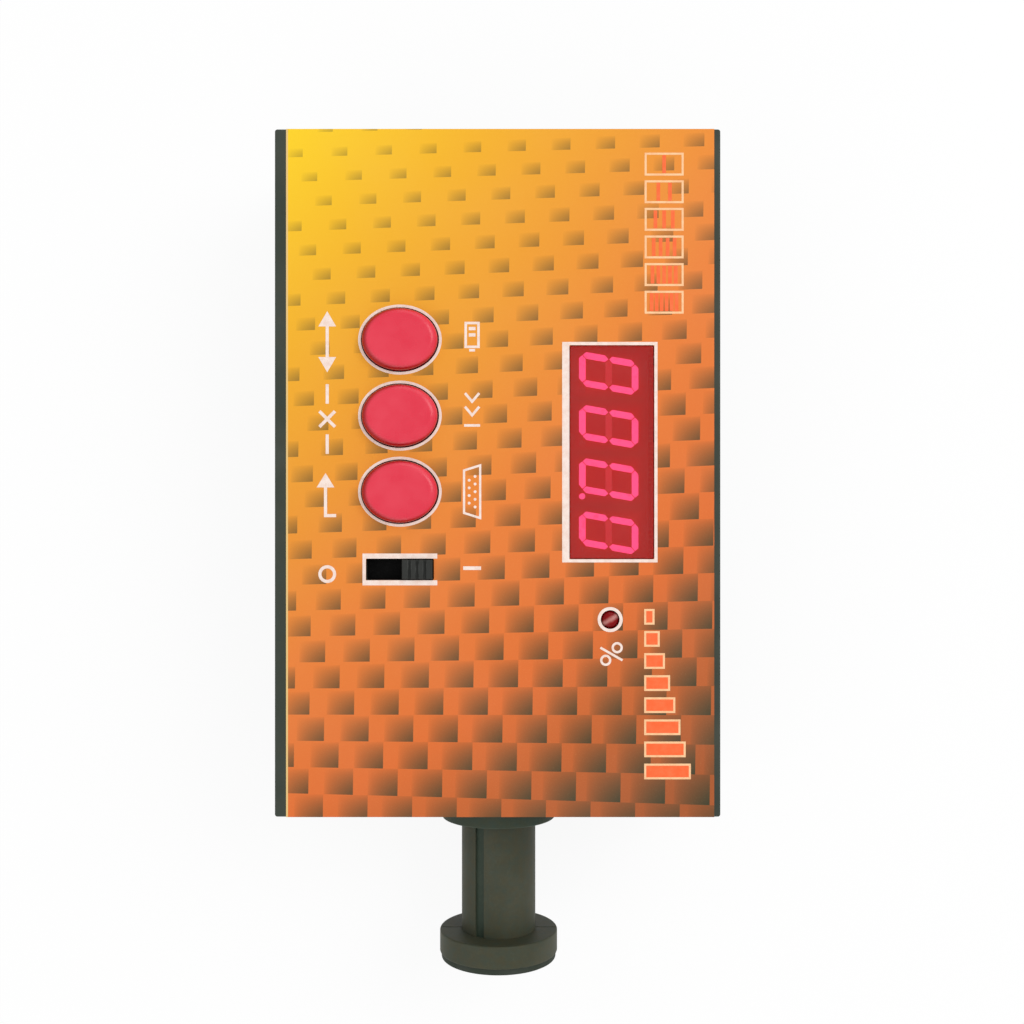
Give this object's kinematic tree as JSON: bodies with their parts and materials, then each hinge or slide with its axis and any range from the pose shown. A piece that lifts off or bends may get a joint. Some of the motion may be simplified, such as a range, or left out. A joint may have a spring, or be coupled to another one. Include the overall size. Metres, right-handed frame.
{
  "type": "window tint meter",
  "caption": "Flat hand-held light-transmission meter with a digital readout, push buttons, slide switch and a spool-shaped sensor head for window glass.",
  "frame": {"origin": "under the middle of the whole outline, on the plane of the four feet", "axes": "+Z out of the printed face, +X to the right of the face seen with the sensor head at the bottom, +Y from the sensor head to the end with the ports"},
  "size_m": [0.105, 0.2058, 0.0491],
  "materials": {
    "case_plastic": "fine spark texture, olive grey",
    "head_plastic": "fine texture, olive grey",
    "printed_label": "satin printed overlay, yellow to red orange",
    "button_red": "satin gloss, red",
    "window_red": "polished, transparent red",
    "digit_lit": "diffuse resin, lit",
    "digit_dim": "diffuse resin, unlit",
    "display_housing": "matte, dark",
    "lamp_red": "tinted diffuse epoxy",
    "switch_black": "matte",
    "black_plastic": "moulded, satin",
    "rubber_black": "matte",
    "steel": "zinc plated",
    "nickel": "bright nickel plate",
    "contact_brass": "nickel flashed",
    "board_green": "solder mask, satin",
    "chip_black": "moulded epoxy",
    "cell_wrap": "printed sleeve over steel, bare",
    "capacitor_sleeve": "sleeved can",
    "clear_glass": "polished",
    "lead_grey": "smooth jacket"
  },
  "bodies": {
    "case": {"lower_case": "case_plastic", "upper_case": "case_plastic", "face_label": "printed_label", "rubber_feet": "rubber_black", "case_screws": "steel", "board_screws": "steel", "display_window": "window_red", "display_body": "display_housing", "display_lit_segments": "digit_lit", "display_unlit_segments": "digit_dim", "signal_lamp": "lamp_red", "signal_lamp_spacer": "black_plastic", "push_switches": "black_plastic", "power_switch_body": "nickel", "main_board": "board_green", "microcontroller": "chip_black", "crystal": "nickel", "sensor_amplifier": "chip_black", "smoothing_capacitors": "capacitor_sleeve", "battery_cells": "cell_wrap", "battery_spring_contacts": "contact_brass", "battery_plate_contacts": "contact_brass", "head_collar": "head_plastic", "head_seal": "rubber_black", "head_barrel": "head_plastic", "contact_flange": "head_plastic", "ring_magnet": "nickel", "contact_pad": "rubber_black", "sensor_glass": "clear_glass", "light_baffle": "black_plastic", "light_detector": "nickel", "detector_board": "board_green", "head_washer": "steel", "head_nut": "contact_brass", "sensor_header": "black_plastic", "sensor_lead": "lead_grey", "serial_port_shell": "nickel", "serial_port_insert": "black_plastic", "serial_port_posts": "nickel", "lamp_socket_body": "black_plastic", "lamp_socket_shell": "nickel", "power_jack_body": "black_plastic", "power_jack_pin": "nickel"},
    "power_switch": {"power_switch_knob": "switch_black"},
    "battery_door": {"battery_door": "case_plastic"},
    "select_button": {"select_button": "button_red", "select_plunger": "black_plastic"},
    "cancel_button": {"cancel_button": "button_red", "cancel_plunger": "black_plastic"},
    "enter_button": {"enter_button": "button_red", "enter_plunger": "black_plastic"}
  },
  "joints": [
    {"name": "select_press", "type": "slide", "parent": "case", "child": "select_button", "axis": [0, 0, 1], "range_m": [-0.001, 0], "stiffness_N_per_m": 800, "springref_m": 0.001},
    {"name": "cancel_press", "type": "slide", "parent": "case", "child": "cancel_button", "axis": [0, 0, 1], "range_m": [-0.001, 0], "stiffness_N_per_m": 800, "springref_m": 0.001},
    {"name": "enter_press", "type": "slide", "parent": "case", "child": "enter_button", "axis": [0, 0, 1], "range_m": [-0.001, 0], "stiffness_N_per_m": 800, "springref_m": 0.001},
    {"name": "power_switch_slide", "type": "slide", "parent": "case", "child": "power_switch", "axis": [1, 0, 0], "range_m": [-0.0082, 0]},
    {"name": "battery_door_slide", "type": "slide", "parent": "case", "child": "battery_door", "axis": [0, 1, 0], "range_m": [0, 0.07]}
  ]
}
